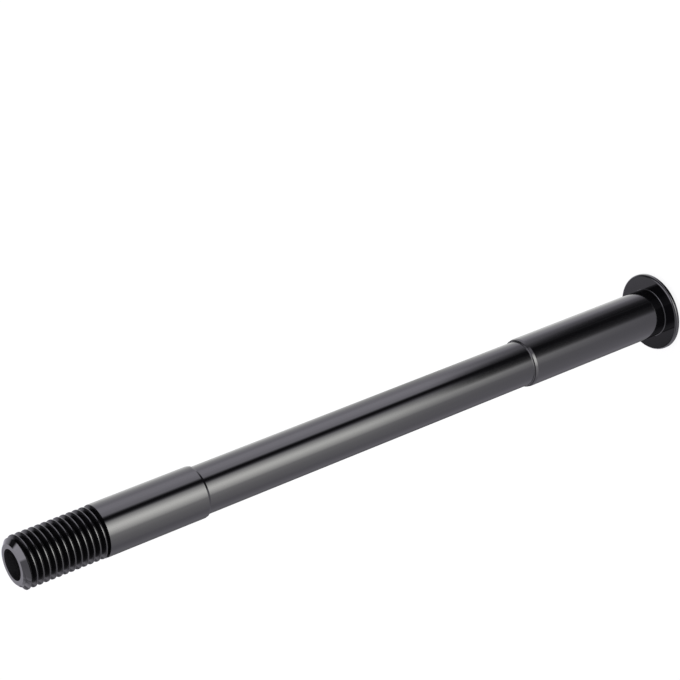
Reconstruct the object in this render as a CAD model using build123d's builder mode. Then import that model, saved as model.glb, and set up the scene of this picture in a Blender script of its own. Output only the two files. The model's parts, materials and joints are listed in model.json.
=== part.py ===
"""Bolt-on bicycle thru axle, turned from one hollow bar. Millimetres, +Z up.

The axle stands on the outer face of its head, with its thread at the top.
Heights are measured from that face, and every circle is centred on the Z axis.
"""
import os

from build123d import *

# Head: a thin flange with a bevelled outer face
head_diameter = 19.5
head_rim_thickness = 1.05
head_bevel_height = 1.2
head_bevel_width = 2.25
head_rim_edge = 0.5
head_root_radius = 0.2

# Shaft: two lands that fit the frame, with a relieved waist between them
under_head_length = 179.75
land_diameter = 12.0
head_land_length = 42.35
thread_land_length = 25.0
head_land_bevel_length = 0.65
head_land_bevel_width = 0.14
thread_land_bevel_length = 0.45
thread_land_bevel_width = 0.1
waist_relief = 0.5
waist_root_radius = 0.25

# Threaded end: the thread's nominal diameter is the lands' diameter
thread_length = 20.0
thread_allowance = 0.15
tip_ring_width = 1.05
tip_chamfer_length = 1.1

# Bore, and the key socket at its head end
bore_diameter = 7.0
key_across_flats = 6.0
key_socket_depth = 8.0
key_mouth_margin = 0.3

# Radii worked out from the diameters
head_radius = head_diameter / 2
head_face_radius = head_radius - head_bevel_width
land_radius = land_diameter / 2
head_land_lip_radius = land_radius - head_land_bevel_width
thread_land_lip_radius = land_radius - thread_land_bevel_width
waist_radius = land_radius - waist_relief
thread_radius = land_radius - thread_allowance / 2
bore_radius = bore_diameter / 2
tip_face_radius = bore_radius + tip_ring_width
key_apothem = key_across_flats / 2

# Heights of the steps along the axis
head_thickness = head_bevel_height + head_rim_thickness
head_land_end = head_thickness + head_land_length
tip_height = head_thickness + under_head_length
thread_start = tip_height - thread_length
thread_land_end = thread_start - thread_land_length

# Two places closer than this are the same place
same_place = 0.001

os.makedirs("parts", exist_ok=True)


def ring(radius, height):
    """The circular edges of this radius and height on the part being built."""

    def lies_there(edge):
        same_radius = abs(edge.radius - radius) < same_place
        return same_radius and abs(edge.arc_center.Z - height) < same_place

    return edges().filter_by(GeomType.CIRCLE).filter_by(lies_there)


with BuildPart() as axle:
    # Half section of the bar, turned about the Z axis
    with BuildSketch(Plane.XZ):
        with BuildLine():
            Polyline(
                (0, 0),
                (head_face_radius, 0),
                (head_radius, head_bevel_height),
                (head_radius, head_thickness),
                (land_radius, head_thickness),
                (land_radius, head_land_end - head_land_bevel_length),
                (head_land_lip_radius, head_land_end),
                (waist_radius, head_land_end),
                (waist_radius, thread_land_end),
                (thread_land_lip_radius, thread_land_end),
                (land_radius, thread_land_end + thread_land_bevel_length),
                (land_radius, thread_start),
                (thread_radius, thread_start),
                (thread_radius, tip_height - tip_chamfer_length),
                (tip_face_radius, tip_height),
                (0, tip_height),
                close=True,
            )
        make_face()
    revolve(axis=Axis.Z)

    # Rounded rim, and the small round corners that the turning leaves
    fillet(ring(land_radius, head_thickness), head_root_radius)
    fillet(ring(head_radius, head_thickness), head_rim_edge)
    for land_end in (head_land_end, thread_land_end):
        fillet(ring(waist_radius, land_end), waist_root_radius)

    # Bore from the tip, as far as the bottom of the key socket
    with BuildSketch(Plane.XY.offset(key_socket_depth)):
        Circle(bore_radius)
    extrude(amount=tip_height - key_socket_depth, mode=Mode.SUBTRACT)

    # Hexagonal key socket through the head, with a countersunk mouth
    with BuildSketch(Plane.XY):
        key_outline = RegularPolygon(key_apothem, 6, major_radius=False)
    extrude(amount=key_socket_depth, mode=Mode.SUBTRACT)
    mouth_radius = key_outline.radius + key_mouth_margin
    Cone(
        mouth_radius,
        key_apothem,
        mouth_radius - key_apothem,
        align=(Align.CENTER, Align.CENTER, Align.MIN),
        mode=Mode.SUBTRACT,
    )

axle.part.label = "axle"
export_step(axle.part, "parts/axle.step")
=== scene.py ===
"""Looks of a bolt-on bicycle thru axle: glossy black anodised aluminium, standing on its head.

Sizes of the axle are in millimetres, with heights from the outer face of the head.
"""
import json
from math import cos, pi, radians, sin, tan

import bmesh
import bpy
from mathutils import Matrix, Vector


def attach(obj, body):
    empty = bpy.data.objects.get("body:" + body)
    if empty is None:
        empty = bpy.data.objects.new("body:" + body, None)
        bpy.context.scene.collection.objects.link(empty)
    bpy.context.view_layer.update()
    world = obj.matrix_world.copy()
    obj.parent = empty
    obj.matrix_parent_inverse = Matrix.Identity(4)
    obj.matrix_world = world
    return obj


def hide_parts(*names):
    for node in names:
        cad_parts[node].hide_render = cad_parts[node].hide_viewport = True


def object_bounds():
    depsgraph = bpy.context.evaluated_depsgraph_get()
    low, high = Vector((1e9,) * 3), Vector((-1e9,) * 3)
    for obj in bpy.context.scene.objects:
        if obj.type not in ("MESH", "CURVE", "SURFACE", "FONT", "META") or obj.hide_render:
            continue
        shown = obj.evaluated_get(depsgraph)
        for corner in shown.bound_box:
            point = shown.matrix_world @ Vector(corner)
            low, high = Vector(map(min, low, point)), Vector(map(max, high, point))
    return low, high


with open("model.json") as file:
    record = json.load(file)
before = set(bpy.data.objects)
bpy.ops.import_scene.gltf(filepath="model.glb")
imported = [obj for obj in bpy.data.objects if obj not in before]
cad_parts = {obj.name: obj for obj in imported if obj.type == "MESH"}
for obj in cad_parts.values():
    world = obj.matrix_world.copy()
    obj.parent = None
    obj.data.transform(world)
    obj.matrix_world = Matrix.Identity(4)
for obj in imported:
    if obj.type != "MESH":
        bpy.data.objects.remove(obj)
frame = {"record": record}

cad_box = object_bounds()
MM = 0.001

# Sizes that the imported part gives
mounts = {mount["name"]: mount for mount in frame["record"]["mounts"]}
head_radius = cad_box[1].x / MM
tip_height = cad_box[1].z / MM
head_thickness = mounts["head_seat"]["pos_m"][2] / MM
land_radius = mounts["head_land"]["dims"]["r_mm"]

# Head
head_rim_thickness = 1.05
head_bevel_width = 2.25
head_rim_edge = 0.5
head_root_radius = 0.2

# Shaft
head_land_length = 42.35
thread_land_length = 25.0
head_land_bevel_length = 0.65
head_land_bevel_width = 0.14
thread_land_bevel_length = 0.45
thread_land_bevel_width = 0.1
waist_relief = 0.5
waist_root_radius = 0.25

# Threaded end
thread_length = 20.0
thread_pitch = 1.5
thread_allowance = 0.15
thread_flank_angle = radians(30)
thread_crest_width = 0.19
thread_root_radius = 0.06
tip_ring_width = 1.05
tip_chamfer_length = 1.1
first_crest_depth = 3.9

# Bore and key socket
bore_radius = 3.5
key_apothem = 3.0
key_socket_depth = 8.0
key_mouth_margin = 0.3

# Heights and radii worked out from these
head_land_end = head_thickness + head_land_length
thread_start = tip_height - thread_length
thread_land_end = thread_start - thread_land_length
tip_chamfer_start = tip_height - tip_chamfer_length
waist_radius = land_radius - waist_relief
thread_radius = land_radius - thread_allowance / 2
tip_face_radius = bore_radius + tip_ring_width
key_mouth_radius = key_apothem / cos(radians(30)) + key_mouth_margin

# Fineness of the mesh, the groove's offset in columns, and how close to an edge a change of finish comes
columns = 180
groove_offset = 0.4
arc_steps = 10
arc_run = 0.04
root_steps = 4
sharp_edge_angle = radians(10)
finish_edge = 0.02

# Finish: the mottle of the anodising, its gloss with a lower gloss in the thread's grooves as painted shade,
# and how much rougher the thread and the bore are
mottle_scale = 900.0
mottle_detail = 3.0
mottle_dark = (0.0020, 0.0020, 0.0023, 1)
mottle_light = (0.0032, 0.0031, 0.0036, 1)
gloss_ior = 1.7
gloss_level = 0.5
# The grooves' lower gloss is painted shade, which darkens the thread between its crests
painted_shade_gloss_level = 0.18
smoothest = 0.05
roughest = 0.09
thread_roughness = 0.1
bore_roughness = 0.45

# Camera: its place and aim, its roll about the line of sight, its lens in millimetres and its near limit
camera_place = Vector((0, -406.7, 334.7)) * MM
camera_aim = Vector((20.16, 0, 88.98)) * MM
camera_roll = radians(-110.19)
camera_lens = 109.97
camera_near = 10 * MM

# The camera stands on this side of the axle, and the thread's crests are placed from it
front_angle = radians(-90)

# Floor: how far it reaches each way in metres, its grey, and the glow that makes it white
floor_reach = 3.0
floor_grey = (0.15, 0.15, 0.15, 1)
floor_glow = 0.9

# Tints of the light from the walls and the soft box, and of what is white
wall_tint = (1.03, 1.0, 1.12, 1)
box_tint = (1.0, 1.0, 0.95, 1)
plain_white = (1, 1, 1, 1)


def arc(centre, radius, start, end):
    """Points of a round corner in the half section, from one angle to the other in degrees.

    The short straight runs before and after it keep the shading of the long walls beside it flat.
    """
    run = arc_run if end > start else -arc_run
    points = []
    for step in range(arc_steps + 1):
        angle = radians(start + (end - start) * step / arc_steps)
        points.append((centre[0] + radius * cos(angle), centre[1] + radius * sin(angle)))
    first, last = radians(start), radians(end)
    before = (points[0][0] + run * sin(first), points[0][1] - run * cos(first))
    after = (points[-1][0] - run * sin(last), points[-1][1] + run * cos(last))
    return [before, *points, after]


def hexagon(angle):
    """How far the key socket's wall is from the axis at this angle."""
    return key_apothem / cos(angle % (pi / 3) - pi / 6)


def mouth_edge(angle):
    """The height at which the socket's countersunk mouth meets its wall."""
    return key_mouth_radius - hexagon(angle)


def half_section():
    """The outline of the turned axle as (radius, height), once round from the mouth of the socket."""
    rim_top = head_thickness - head_rim_edge
    root = head_root_radius
    corner = waist_root_radius
    return [
        (key_mouth_radius, 0),
        (head_radius - head_bevel_width, 0),
        (head_radius, head_thickness - head_rim_thickness),
        *arc((head_radius - head_rim_edge, rim_top), head_rim_edge, 0, 90),
        *arc((land_radius + root, head_thickness + root), root, 270, 180),
        (land_radius, head_land_end - head_land_bevel_length),
        (land_radius - head_land_bevel_width, head_land_end),
        *arc((waist_radius + corner, head_land_end + corner), corner, 270, 180),
        *arc((waist_radius + corner, thread_land_end - corner), corner, 180, 90),
        (land_radius - thread_land_bevel_width, thread_land_end),
        (land_radius, thread_land_end + thread_land_bevel_length),
        (land_radius, thread_start),
        (thread_radius, thread_start),
        (thread_radius, tip_chamfer_start),
        (tip_face_radius, tip_height),
        (bore_radius, tip_height),
        (bore_radius, key_socket_depth),
        (hexagon, key_socket_depth),
        (hexagon, mouth_edge),
    ]


def at_angle(value, angle):
    """A size that is the same all round, or one that changes with the angle."""
    return value(angle) if callable(value) else value


def add_object(name, mesh_builder):
    """A new object from a bmesh, which is freed."""
    mesh = bpy.data.meshes.new(name)
    mesh_builder.to_mesh(mesh)
    mesh_builder.free()
    made = bpy.data.objects.new(name, mesh)
    bpy.context.scene.collection.objects.link(made)
    return made


def turned_body():
    """The axle without its thread: the half section turned about the Z axis."""
    build = bmesh.new()
    rings = []
    for radius, height in half_section():
        ring = []
        for column in range(columns):
            angle = 2 * pi * column / columns
            reach = at_angle(radius, angle)
            place = Vector((reach * cos(angle), reach * sin(angle), at_angle(height, angle)))
            ring.append(build.verts.new(place * MM))
        rings.append(ring)
    for ring, after in zip(rings, rings[1:] + rings[:1]):
        for column in range(columns):
            beside = (column + 1) % columns
            build.faces.new((ring[column], ring[beside], after[beside], after[column]))
    return add_object("thru_axle", build)


def groove_section():
    """The V between two turns of the thread as (radius, rise) points, with a small round at its root."""
    half_gap = (thread_pitch - thread_crest_width) / 2
    half_turn = radians(90) - thread_flank_angle
    flank_depth = (half_gap - thread_root_radius * sin(half_turn)) / tan(thread_flank_angle)
    centre = thread_radius - flank_depth + thread_root_radius * cos(half_turn)
    past_crest = thread_crest_width / 2
    mouth_radius = thread_radius + past_crest
    mouth_rise = half_gap + past_crest * tan(thread_flank_angle)
    points = [(mouth_radius, -mouth_rise)]
    for step in range(root_steps + 1):
        angle = half_turn * (2 * step / root_steps - 1)
        points.append((centre - thread_root_radius * cos(angle), thread_root_radius * sin(angle)))
    return [*points, (mouth_radius, mouth_rise)]


def thread_groove():
    """The space between the thread's turns, from the land to past the tip.

    Its stations lie between the body's columns, so that the cut leaves no slivers.
    """
    section = groove_section()
    turns_past_land = 1
    turns_past_tip = 2
    turns = round(thread_length / thread_pitch) + turns_past_land + turns_past_tip
    groove_height = tip_height - first_crest_depth - thread_pitch / 2
    turns_below = round((groove_height - thread_start) / thread_pitch) + turns_past_land
    build = bmesh.new()
    stations = []
    for step in range(turns * columns + 1):
        turn = (step + groove_offset) / columns - turns_below
        angle = front_angle + 2 * pi * turn
        height = groove_height + thread_pitch * turn
        stations.append([
            build.verts.new(Vector((radius * cos(angle), radius * sin(angle), height + rise)) * MM)
            for radius, rise in section
        ])
    for station, after in zip(stations, stations[1:]):
        for corner in range(len(section)):
            beside = (corner + 1) % len(section)
            build.faces.new((station[corner], station[beside], after[beside], after[corner]))
    build.faces.new(stations[0])
    build.faces.new(stations[-1])
    everything = build.verts[:] + build.edges[:] + build.faces[:]
    bmesh.ops.bisect_plane(
        build, geom=everything, plane_co=(0, 0, thread_start * MM), plane_no=(0, 0, 1), clear_inner=True
    )
    bmesh.ops.edgeloop_fill(build, edges=[edge for edge in build.edges if edge.is_boundary])
    bmesh.ops.recalc_face_normals(build, faces=build.faces[:])
    return add_object("thread_groove", build)


def cut(body, tool):
    """Takes the tool's space out of the body, and removes the tool."""
    modifier = body.modifiers.new("cut", "BOOLEAN")
    modifier.operation = "DIFFERENCE"
    modifier.solver = "EXACT"
    modifier.object = tool
    depsgraph = bpy.context.evaluated_depsgraph_get()
    mesh = bpy.data.meshes.new_from_object(body.evaluated_get(depsgraph))
    body.modifiers.clear()
    body.data = mesh
    bpy.data.objects.remove(tool)


def node(tree, kind, operation=None, **inputs):
    """A new shader node with its sockets set to values, or linked to other sockets.

    A socket goes by its name, with _ in place of a space, or by its number, as in _0.
    """
    made = tree.nodes.new(kind)
    if operation:
        made.operation = operation
    for name, value in inputs.items():
        socket = made.inputs[int(name[1:])] if name[0] == "_" else made.inputs[name.replace("_", " ")]
        if isinstance(value, bpy.types.NodeSocket):
            tree.links.new(value, socket)
        else:
            socket.default_value = value
    return made


def calculate(tree, operation, first, second=0.0, third=0.0):
    """One sum, as a node."""
    return node(tree, "ShaderNodeMath", operation, _0=first, _1=second, _2=third).outputs["Value"]


def within(tree, size, low, high):
    """1 where a size on the axle lies between two others, and 0 elsewhere."""
    above = calculate(tree, "GREATER_THAN", size, low * MM)
    below = calculate(tree, "LESS_THAN", size, high * MM)
    return calculate(tree, "MULTIPLY", above, below)


def ramp(tree, position, stops):
    """A value that follows (place, value) stops as position goes from 0 to 1."""
    made = node(tree, "ShaderNodeValToRGB", Fac=position)
    elements = made.color_ramp.elements
    elements.remove(elements[1])
    for index, (place, value) in enumerate(stops):
        element = elements[0] if index == 0 else elements.new(place)
        element.position = place
        element.color = (value, value, value, 1)
    return made.outputs["Color"]


def black_anodised():
    """Glossy black anodising. The cut thread and the bore are rougher, and the thread's grooves have less
    gloss, which is painted shade.
    """
    material = bpy.data.materials.new("black_anodised")
    material.use_nodes = True
    tree = material.node_tree
    shader = tree.nodes["Principled BSDF"]
    shader.inputs["IOR"].default_value = gloss_ior
    place = tree.nodes.new("ShaderNodeTexCoord").outputs["Object"]

    noise = node(tree, "ShaderNodeTexNoise", Vector=place, Scale=mottle_scale, Detail=mottle_detail)
    mottle = noise.outputs["Fac"]
    tone = node(tree, "ShaderNodeValToRGB", Fac=mottle)
    tone.color_ramp.elements[0].color = mottle_dark
    tone.color_ramp.elements[1].color = mottle_light
    tree.links.new(tone.outputs["Color"], shader.inputs["Base Color"])

    height = node(tree, "ShaderNodeSeparateXYZ", Vector=place).outputs["Z"]
    across = node(tree, "ShaderNodeVectorMath", "MULTIPLY", _0=place, _1=(1, 1, 0)).outputs["Vector"]
    reach = node(tree, "ShaderNodeVectorMath", "LENGTH", _0=across).outputs["Value"]
    bore = within(tree, reach, 0, bore_radius + finish_edge)
    thread = within(tree, height, thread_start, tip_chamfer_start)
    below_crest = within(tree, reach, bore_radius, thread_radius - finish_edge)

    spread = node(tree, "ShaderNodeMapRange", Value=mottle, To_Min=smoothest, To_Max=roughest)
    rough = calculate(tree, "MULTIPLY_ADD", thread, thread_roughness, spread.outputs["Result"])
    rough = calculate(tree, "MULTIPLY_ADD", bore, bore_roughness, rough)
    tree.links.new(rough, shader.inputs["Roughness"])

    # Painted shade: the thread's grooves below the crests get less gloss, so they render darker
    painted_shade_groove = calculate(tree, "MULTIPLY", thread, below_crest)
    gloss_with_painted_shade = node(tree, "ShaderNodeMapRange", Value=painted_shade_groove, To_Min=gloss_level, To_Max=painted_shade_gloss_level)
    tree.links.new(gloss_with_painted_shade.outputs["Result"], shader.inputs["Specular IOR Level"])
    return material


class Sky:
    """Levels of light that follow the direction they come from, as sockets of the world's shader.

    Azimuths are degrees to the right of the front, and elevations are degrees above the horizon.
    """

    def __init__(self, tree):
        self.tree = tree
        direction = tree.nodes.new("ShaderNodeTexCoord").outputs["Generated"]
        axes = node(tree, "ShaderNodeSeparateXYZ", Vector=direction).outputs
        front = calculate(tree, "MULTIPLY", axes["Y"], -1.0)
        turn = calculate(tree, "ARCTAN2", axes["X"], front)
        rise = calculate(tree, "ARCSINE", axes["Z"])
        self.turn = calculate(tree, "MULTIPLY_ADD", turn, 1 / radians(360), 0.5)
        self.rise = calculate(tree, "MULTIPLY_ADD", rise, 1 / radians(180), 0.5)
        self.side = calculate(tree, "MULTIPLY_ADD", axes["X"], 0.5, 0.5)

    def by_azimuth(self, *stops, slant=0.0, upright_at=0.0):
        """A level by azimuth. A slant shifts it left by so many degrees with each degree of elevation."""
        shift = slant * (90 + upright_at) / 360
        turn = self.turn
        if slant:
            turn = calculate(self.tree, "MULTIPLY_ADD", self.rise, slant / 2, turn)
        return ramp(self.tree, turn, [(0.5 + degrees / 360 + shift, level) for degrees, level in stops])

    def by_elevation(self, *stops):
        """A level by elevation."""
        return ramp(self.tree, self.rise, [(0.5 + degrees / 180, level) for degrees, level in stops])

    def by_side(self, *stops):
        """A level that goes from the left, at -1, to the right, at 1."""
        return ramp(self.tree, self.side, [(0.5 + place / 2, level) for place, level in stops])

    def add(self, *levels):
        """All the levels added together."""
        total = levels[0]
        for level in levels[1:]:
            total = calculate(self.tree, "ADD", total, level)
        return total

    def times(self, *levels):
        """All the levels multiplied together."""
        product = levels[0]
        for level in levels[1:]:
            product = calculate(self.tree, "MULTIPLY", product, level)
        return product

    def blend(self, share, first, second):
        """The first level where the share is 0, the second where it is 1, and a mix between."""
        return node(self.tree, "ShaderNodeMix", Factor=share, A=first, B=second).outputs["Result"]


def dark_flags(sky):
    """What the flags let through: a narrow one beside the soft box, which widens toward the head."""
    narrow = sky.by_azimuth(
        (18, 1), (29, 0.05), (38, 0.03), (41, 0.22), (48.5, 1), slant=0.45, upright_at=-24.5
    )
    wide = sky.by_azimuth(
        (-12, 1), (0, 0.32), (10, 0.13), (30, 0.03), (44, 0.03), (72, 0.75), (88, 0.63), (105, 1)
    )
    deep = sky.by_azimuth((44, 1), (50, 0.13), (70, 0.13), (105, 1))
    flag = sky.blend(sky.by_elevation((-33.9, 1), (-33.3, 0)), narrow, wide)
    return sky.blend(sky.by_elevation((-37.5, 1), (-34.8, 0.5), (-34, 0)), flag, sky.times(flag, deep))


def low_surround(sky):
    """The cool walls to the left and right, well below the horizon, which the shaft mirrors."""
    return sky.by_azimuth(
        (-160, 0), (-130, 0.55), (-85, 0.76), (40, 0.9), (50, 1.5), (70, 1.85), (84, 1.75),
        (110, 0.85), (140, 0),
    )


def low_back(sky):
    """The white wall behind, which lights what is the shaft's upper edge in the picture."""
    wall = sky.by_azimuth((-160, 0.2), (-135, 0), (100, 0), (140, 1.45), (150, 1.45), (180, 0.45))
    return sky.times(wall, sky.by_elevation((-35.5, 1), (-32.7, 0.55), (-28.5, 0.95)))


def soft_box(sky):
    """The warm box low in front, which makes the bright band along the shaft."""
    across = sky.by_azimuth(
        (-95, 0), (-60, 0.5), (-40, 1), (-32, 2.4), (-16, 4.5), (-8, 5.1), (0, 4.4), (25, 0)
    )
    up = sky.by_elevation(
        (-39, 0), (-36, 0.18), (-32.6, 0.54), (-31, 0.85), (-24.5, 1.06), (-8, 1.06), (0, 0)
    )
    return sky.times(across, up)


def high_light(sky):
    """The light from above the horizon, which the tip, the thread and the head mirror.

    The backdrop lights the tip's ring and the edges of the thread, and the shelf the head's flange.
    The left fill lights the lower part of the tip's chamfer. It dims at the heights that the flange mirrors.
    The shade keeps the lower ends of the thread's turns dark.
    The overhead light falls on the chamfer's front, the head's rim and the floor.
    """
    backdrop = sky.by_elevation((22, 1), (28, 0.9), (32, 0.08))
    shelf = sky.times(
        sky.by_side((-0.02, 0.09), (0.02, 0.5), (0.6, 0.1)),
        sky.by_elevation((36.5, 0), (38.5, 1), (44, 1), (46, 0)),
    )
    left_fill = sky.times(
        sky.by_azimuth((-150, 0), (-135, 0.9), (-110, 0.9), (-90, 0)),
        sky.by_elevation(
            (27, 0), (31, 1), (37.6, 1), (38.3, 0.3), (40.2, 0.3), (40.9, 1), (46, 1), (51, 0)
        ),
    )
    shade = sky.by_azimuth(
        (-176, 1), (-170, 0.25), (-159, 0.25), (-156, 1), (40, 1), (55, 0.25), (125, 0.25), (140, 1)
    )
    overhead = sky.times(
        sky.by_azimuth((-10, 0.75), (26, 2.8), (110, 2.8), (130, 0.9), (180, 0.75)),
        sky.by_elevation((46, 0), (52, 1)),
    )
    return sky.add(sky.times(sky.add(backdrop, shelf, left_fill), shade), overhead)


def studio():
    """The light all round. The camera itself sees plain white."""
    world = bpy.data.worlds.new("studio")
    bpy.context.scene.world = world
    world.use_nodes = True
    tree = world.node_tree
    tree.nodes.clear()
    sky = Sky(tree)

    is_high = sky.by_elevation((-20, 0), (-14, 1))
    fall = sky.by_elevation((-60, 0.1), (-50, 1))
    flag = dark_flags(sky)
    low = sky.times(low_surround(sky), flag, fall)
    surround = sky.blend(is_high, low, high_light(sky))
    back = sky.blend(is_high, sky.times(low_back(sky), fall), 0.0)
    box = sky.times(soft_box(sky), flag)

    cool = node(tree, "ShaderNodeBackground", Color=wall_tint, Strength=surround)
    warm = node(tree, "ShaderNodeBackground", Color=box_tint, Strength=box)
    plain = node(tree, "ShaderNodeBackground", Color=plain_white, Strength=back)
    light = node(tree, "ShaderNodeAddShader", _0=cool.outputs[0], _1=warm.outputs[0])
    light = node(tree, "ShaderNodeAddShader", _0=light.outputs[0], _1=plain.outputs[0])
    white = node(tree, "ShaderNodeBackground", Color=plain_white, Strength=1.0)
    seen = tree.nodes.new("ShaderNodeLightPath").outputs["Is Camera Ray"]
    shown = node(tree, "ShaderNodeMixShader", _0=seen, _1=light.outputs[0], _2=white.outputs[0])
    output = tree.nodes.new("ShaderNodeOutputWorld")
    tree.links.new(shown.outputs["Shader"], output.inputs["Surface"])


def floor():
    """A plain white floor that keeps a faint shadow. The shiny axle mirrors the studio in its place."""
    build = bmesh.new()
    bmesh.ops.create_grid(build, x_segments=1, y_segments=1, size=floor_reach)
    made = add_object("floor", build)
    material = bpy.data.materials.new("white_floor")
    material.use_nodes = True
    tree = material.node_tree
    tree.nodes.clear()
    paper = node(tree, "ShaderNodeBsdfDiffuse", Color=floor_grey)
    glow = node(tree, "ShaderNodeEmission", Strength=floor_glow)
    both = node(tree, "ShaderNodeAddShader", _0=paper.outputs["BSDF"], _1=glow.outputs["Emission"])
    output = tree.nodes.new("ShaderNodeOutputMaterial")
    tree.links.new(both.outputs["Shader"], output.inputs["Surface"])
    made.data.materials.append(material)
    made.visible_glossy = False


def camera():
    """The photograph's view: from above the tip, rolled so that the axle lies across the picture."""
    data = bpy.data.cameras.new("camera")
    data.lens = camera_lens
    data.clip_start = camera_near
    made = bpy.data.objects.new("camera", data)
    bpy.context.scene.collection.objects.link(made)
    turn = (camera_aim - camera_place).to_track_quat("-Z", "Y").to_matrix()
    roll = Matrix.Rotation(camera_roll, 3, "Z")
    made.matrix_world = Matrix.LocRotScale(camera_place, turn @ roll, None)
    bpy.context.scene.camera = made


axle = turned_body()
cut(axle, thread_groove())
axle.data.shade_smooth()
axle.data.set_sharp_from_angle(angle=sharp_edge_angle)
axle.data.materials.clear()
axle.data.materials.append(black_anodised())
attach(axle, "root")
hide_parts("axle")

studio()
floor()
camera()
bpy.context.scene.view_settings.view_transform = "Standard"
